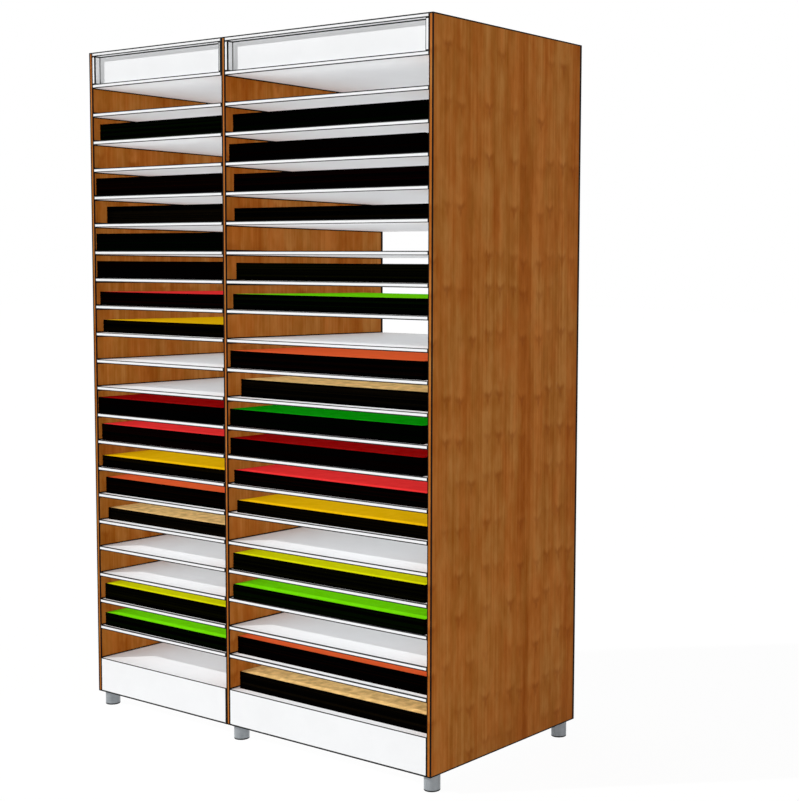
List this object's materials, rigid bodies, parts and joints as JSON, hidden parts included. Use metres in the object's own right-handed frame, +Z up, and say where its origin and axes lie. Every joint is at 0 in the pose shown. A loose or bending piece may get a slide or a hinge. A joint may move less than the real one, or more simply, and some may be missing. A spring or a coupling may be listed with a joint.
{
  "type": "paper display rack",
  "caption": "Tall free-standing rack of thin shelves in two bays between wood-grain panels, with stacks of coloured sheets that slide out at the front.",
  "frame": {"origin": "on the floor, under the middle of the rack", "axes": "+X to the right seen from the front, +Y towards the rear, +Z up"},
  "size_m": [1.22, 0.6, 1.818],
  "materials": {
    "wood_laminate": "brown wood-grain laminate, satin",
    "white_board": "white melamine-faced board, satin",
    "foot_metal": "grey brushed steel",
    "paper_red": "matt coloured paper",
    "paper_dark_red": "matt coloured paper",
    "paper_gold": "matt coloured paper",
    "paper_orange": "matt coloured paper",
    "paper_kraft": "mottled natural kraft paper",
    "paper_yellow": "matt coloured paper",
    "paper_light_green": "matt coloured paper",
    "paper_green": "matt coloured paper"
  },
  "bodies": {
    "rack": {"left_side_panel": "wood_laminate", "centre_panel": "wood_laminate", "right_side_panel": "wood_laminate", "shelf_01": "white_board", "shelf_02": "white_board", "shelf_03": "white_board", "shelf_04": "white_board", "shelf_05": "white_board", "shelf_06": "white_board", "shelf_07": "white_board", "shelf_08": "white_board", "shelf_09": "white_board", "shelf_10": "white_board", "shelf_11": "white_board", "shelf_12": "white_board", "shelf_13": "white_board", "shelf_14": "white_board", "shelf_15": "white_board", "shelf_16": "white_board", "shelf_17": "white_board", "shelf_18": "white_board", "shelf_19": "white_board", "shelf_20": "white_board", "deck": "white_board", "header_floor": "white_board", "header_top": "white_board", "header_sign": "white_board", "base_frame": "foot_metal", "left_plinth": "white_board", "right_plinth": "white_board"},
    "left_stack_02": {"left_stack_02": "paper_light_green"},
    "left_stack_04": {"left_stack_04": "paper_orange"},
    "left_stack_05": {"left_stack_05": "paper_kraft"},
    "left_stack_06": {"left_stack_06": "paper_green"},
    "left_stack_07": {"left_stack_07": "paper_dark_red"},
    "left_stack_08": {"left_stack_08": "paper_red"},
    "left_stack_09": {"left_stack_09": "paper_gold"},
    "left_stack_12": {"left_stack_12": "paper_dark_red"},
    "left_stack_13": {"left_stack_13": "paper_red"},
    "left_stack_14": {"left_stack_14": "paper_gold"},
    "left_stack_15": {"left_stack_15": "paper_orange"},
    "left_stack_16": {"left_stack_16": "paper_kraft"},
    "left_stack_19": {"left_stack_19": "paper_yellow"},
    "left_stack_20": {"left_stack_20": "paper_light_green"},
    "right_stack_02": {"right_stack_02": "paper_green"},
    "right_stack_03": {"right_stack_03": "paper_dark_red"},
    "right_stack_04": {"right_stack_04": "paper_red"},
    "right_stack_05": {"right_stack_05": "paper_gold"},
    "right_stack_07": {"right_stack_07": "paper_yellow"},
    "right_stack_08": {"right_stack_08": "paper_light_green"},
    "right_stack_10": {"right_stack_10": "paper_orange"},
    "right_stack_11": {"right_stack_11": "paper_kraft"},
    "right_stack_12": {"right_stack_12": "paper_green"},
    "right_stack_13": {"right_stack_13": "paper_dark_red"},
    "right_stack_14": {"right_stack_14": "paper_red"},
    "right_stack_15": {"right_stack_15": "paper_gold"},
    "right_stack_17": {"right_stack_17": "paper_yellow"},
    "right_stack_18": {"right_stack_18": "paper_light_green"},
    "right_stack_20": {"right_stack_20": "paper_orange"},
    "right_stack_21": {"right_stack_21": "paper_kraft"}
  },
  "joints": [
    {"name": "left_stack_02_slide", "type": "slide", "parent": "rack", "child": "left_stack_02", "axis": [0, -1, 0], "range_m": [0, 0.62]},
    {"name": "left_stack_04_slide", "type": "slide", "parent": "rack", "child": "left_stack_04", "axis": [0, -1, 0], "range_m": [0, 0.62]},
    {"name": "left_stack_05_slide", "type": "slide", "parent": "rack", "child": "left_stack_05", "axis": [0, -1, 0], "range_m": [0, 0.62]},
    {"name": "left_stack_06_slide", "type": "slide", "parent": "rack", "child": "left_stack_06", "axis": [0, -1, 0], "range_m": [0, 0.62]},
    {"name": "left_stack_07_slide", "type": "slide", "parent": "rack", "child": "left_stack_07", "axis": [0, -1, 0], "range_m": [0, 0.62]},
    {"name": "left_stack_08_slide", "type": "slide", "parent": "rack", "child": "left_stack_08", "axis": [0, -1, 0], "range_m": [0, 0.62]},
    {"name": "left_stack_09_slide", "type": "slide", "parent": "rack", "child": "left_stack_09", "axis": [0, -1, 0], "range_m": [0, 0.62]},
    {"name": "left_stack_12_slide", "type": "slide", "parent": "rack", "child": "left_stack_12", "axis": [0, -1, 0], "range_m": [0, 0.62]},
    {"name": "left_stack_13_slide", "type": "slide", "parent": "rack", "child": "left_stack_13", "axis": [0, -1, 0], "range_m": [0, 0.62]},
    {"name": "left_stack_14_slide", "type": "slide", "parent": "rack", "child": "left_stack_14", "axis": [0, -1, 0], "range_m": [0, 0.62]},
    {"name": "left_stack_15_slide", "type": "slide", "parent": "rack", "child": "left_stack_15", "axis": [0, -1, 0], "range_m": [0, 0.62]},
    {"name": "left_stack_16_slide", "type": "slide", "parent": "rack", "child": "left_stack_16", "axis": [0, -1, 0], "range_m": [0, 0.62]},
    {"name": "left_stack_19_slide", "type": "slide", "parent": "rack", "child": "left_stack_19", "axis": [0, -1, 0], "range_m": [0, 0.62]},
    {"name": "left_stack_20_slide", "type": "slide", "parent": "rack", "child": "left_stack_20", "axis": [0, -1, 0], "range_m": [0, 0.62]},
    {"name": "right_stack_02_slide", "type": "slide", "parent": "rack", "child": "right_stack_02", "axis": [0, -1, 0], "range_m": [0, 0.62]},
    {"name": "right_stack_03_slide", "type": "slide", "parent": "rack", "child": "right_stack_03", "axis": [0, -1, 0], "range_m": [0, 0.62]},
    {"name": "right_stack_04_slide", "type": "slide", "parent": "rack", "child": "right_stack_04", "axis": [0, -1, 0], "range_m": [0, 0.62]},
    {"name": "right_stack_05_slide", "type": "slide", "parent": "rack", "child": "right_stack_05", "axis": [0, -1, 0], "range_m": [0, 0.62]},
    {"name": "right_stack_07_slide", "type": "slide", "parent": "rack", "child": "right_stack_07", "axis": [0, -1, 0], "range_m": [0, 0.62]},
    {"name": "right_stack_08_slide", "type": "slide", "parent": "rack", "child": "right_stack_08", "axis": [0, -1, 0], "range_m": [0, 0.62]},
    {"name": "right_stack_10_slide", "type": "slide", "parent": "rack", "child": "right_stack_10", "axis": [0, -1, 0], "range_m": [0, 0.62]},
    {"name": "right_stack_11_slide", "type": "slide", "parent": "rack", "child": "right_stack_11", "axis": [0, -1, 0], "range_m": [0, 0.62]},
    {"name": "right_stack_12_slide", "type": "slide", "parent": "rack", "child": "right_stack_12", "axis": [0, -1, 0], "range_m": [0, 0.62]},
    {"name": "right_stack_13_slide", "type": "slide", "parent": "rack", "child": "right_stack_13", "axis": [0, -1, 0], "range_m": [0, 0.62]},
    {"name": "right_stack_14_slide", "type": "slide", "parent": "rack", "child": "right_stack_14", "axis": [0, -1, 0], "range_m": [0, 0.62]},
    {"name": "right_stack_15_slide", "type": "slide", "parent": "rack", "child": "right_stack_15", "axis": [0, -1, 0], "range_m": [0, 0.62]},
    {"name": "right_stack_17_slide", "type": "slide", "parent": "rack", "child": "right_stack_17", "axis": [0, -1, 0], "range_m": [0, 0.62]},
    {"name": "right_stack_18_slide", "type": "slide", "parent": "rack", "child": "right_stack_18", "axis": [0, -1, 0], "range_m": [0, 0.62]},
    {"name": "right_stack_20_slide", "type": "slide", "parent": "rack", "child": "right_stack_20", "axis": [0, -1, 0], "range_m": [0, 0.62]},
    {"name": "right_stack_21_slide", "type": "slide", "parent": "rack", "child": "right_stack_21", "axis": [0, -1, 0], "range_m": [0, 0.62]}
  ]
}
